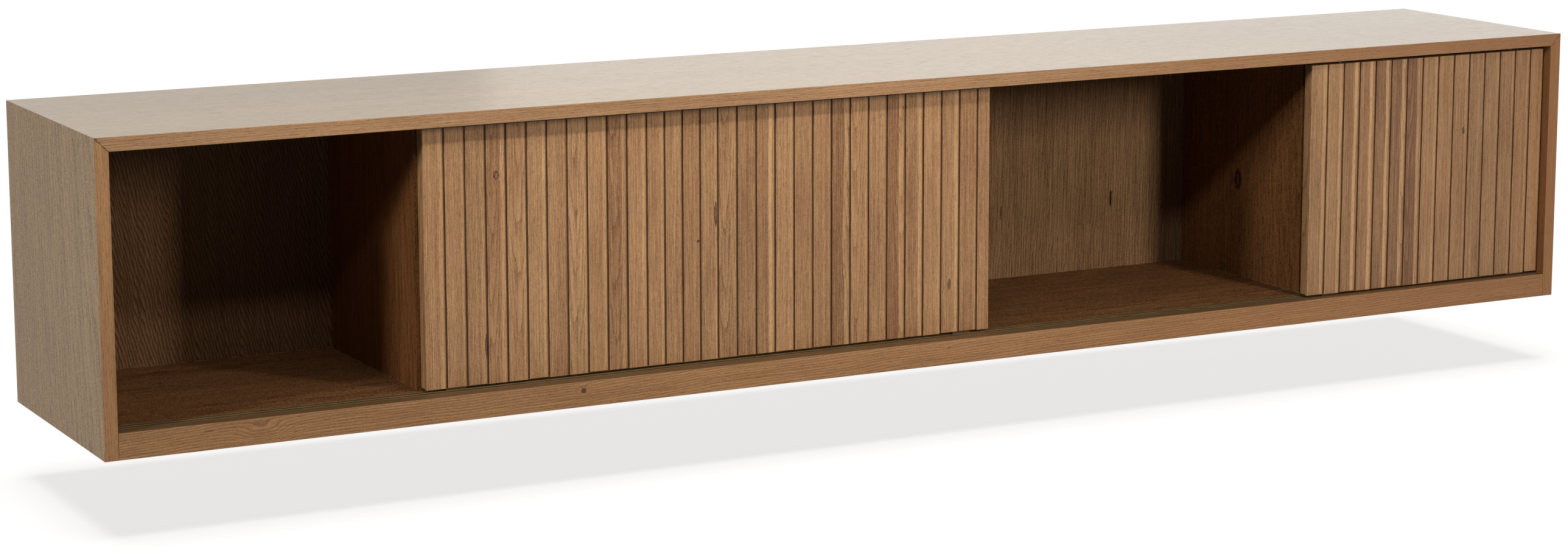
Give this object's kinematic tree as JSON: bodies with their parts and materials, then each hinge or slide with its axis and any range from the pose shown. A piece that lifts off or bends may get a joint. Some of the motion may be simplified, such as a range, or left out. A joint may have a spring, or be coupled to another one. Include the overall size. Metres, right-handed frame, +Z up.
{
  "type": "floating media console",
  "caption": "Long low wall-hung oak media console with a mitred case, open bays and slatted doors that slide past each other on a twin top track.",
  "frame": {"origin": "middle of the underside of the case", "axes": "+X to the right seen from the front, +Y from the front towards the wall, +Z up"},
  "size_m": [2.4, 0.406, 0.425],
  "materials": {
    "top_oak": "pale oak veneer, matt lacquer",
    "side_oak": "grey-brown oak veneer, matt lacquer",
    "edge_oak": "warm brown oak, matt lacquer",
    "inner_oak": "brown oak veneer, matt",
    "slat_oak": "brushed oak slats, matt lacquer",
    "plain_board": "plywood, unfinished",
    "bronze_aluminium": "bronze anodised",
    "brown_plastic": "matt moulded",
    "white_nylon": "moulded nylon",
    "steel": "zinc plated",
    "felt": "brown felt"
  },
  "bodies": {
    "case": {"top_panel": "top_oak", "top_front_edge": "edge_oak", "left_side_panel": "side_oak", "left_front_edge": "edge_oak", "right_side_panel": "side_oak", "right_front_edge": "edge_oak", "front_rail": "edge_oak", "floor_panel": "inner_oak", "bottom_panel": "plain_board", "back_panel": "inner_oak", "left_divider": "inner_oak", "right_divider": "inner_oak", "case_cleat": "plain_board", "wall_cleat": "plain_board", "top_track": "bronze_aluminium", "guide_strip": "brown_plastic", "buffer_left_front": "felt", "buffer_left_rear": "felt", "buffer_right_front": "felt", "buffer_right_rear": "felt"},
    "wide_door": {"wide_door_slats": "slat_oak", "wide_door_backing": "plain_board", "wide_door_carriage_left": "brown_plastic", "wide_door_bolt_left": "steel", "wide_door_guide_left": "brown_plastic", "wide_door_carriage_right": "brown_plastic", "wide_door_bolt_right": "steel", "wide_door_guide_right": "brown_plastic"},
    "wide_door_wheels_left": {"wide_door_axle_left": "steel", "wide_door_wheel_left_front": "white_nylon", "wide_door_wheel_left_rear": "white_nylon"},
    "wide_door_wheels_right": {"wide_door_axle_right": "steel", "wide_door_wheel_right_front": "white_nylon", "wide_door_wheel_right_rear": "white_nylon"},
    "narrow_door": {"narrow_door_slats": "slat_oak", "narrow_door_backing": "plain_board", "narrow_door_carriage_left": "brown_plastic", "narrow_door_bolt_left": "steel", "narrow_door_guide_left": "brown_plastic", "narrow_door_carriage_right": "brown_plastic", "narrow_door_bolt_right": "steel", "narrow_door_guide_right": "brown_plastic"},
    "narrow_door_wheels_left": {"narrow_door_axle_left": "steel", "narrow_door_wheel_left_front": "white_nylon", "narrow_door_wheel_left_rear": "white_nylon"},
    "narrow_door_wheels_right": {"narrow_door_axle_right": "steel", "narrow_door_wheel_right_front": "white_nylon", "narrow_door_wheel_right_rear": "white_nylon"}
  },
  "joints": [
    {"name": "wide_door_slide", "type": "slide", "parent": "case", "child": "wide_door", "axis": [1, 0, 0], "range_m": [-0.44195, 1.02095]},
    {"name": "wide_door_wheels_left_roll", "type": "hinge", "parent": "wide_door", "child": "wide_door_wheels_left", "pos_m": [-0.677, -0.1555, 0.4096], "axis": [0, 1, 0], "continuous": true},
    {"name": "wide_door_wheels_right_roll", "type": "hinge", "parent": "wide_door", "child": "wide_door_wheels_right", "pos_m": [0.098, -0.1555, 0.4096], "axis": [0, 1, 0], "continuous": true},
    {"name": "narrow_door_slide", "type": "slide", "parent": "case", "child": "narrow_door", "axis": [1, 0, 0], "range_m": [-1.9039, 0]},
    {"name": "narrow_door_wheels_left_roll", "type": "hinge", "parent": "narrow_door", "child": "narrow_door_wheels_left", "pos_m": [0.78495, -0.1755, 0.4096], "axis": [0, 1, 0], "continuous": true},
    {"name": "narrow_door_wheels_right_roll", "type": "hinge", "parent": "narrow_door", "child": "narrow_door_wheels_right", "pos_m": [1.11895, -0.1755, 0.4096], "axis": [0, 1, 0], "continuous": true}
  ],
  "couplings": [
    {"joint": "wide_door_wheels_left_roll", "follows": "wide_door_slide", "rad_per_m": 222.22},
    {"joint": "wide_door_wheels_right_roll", "follows": "wide_door_slide", "rad_per_m": 222.22},
    {"joint": "narrow_door_wheels_left_roll", "follows": "narrow_door_slide", "rad_per_m": 222.22},
    {"joint": "narrow_door_wheels_right_roll", "follows": "narrow_door_slide", "rad_per_m": 222.22}
  ]
}
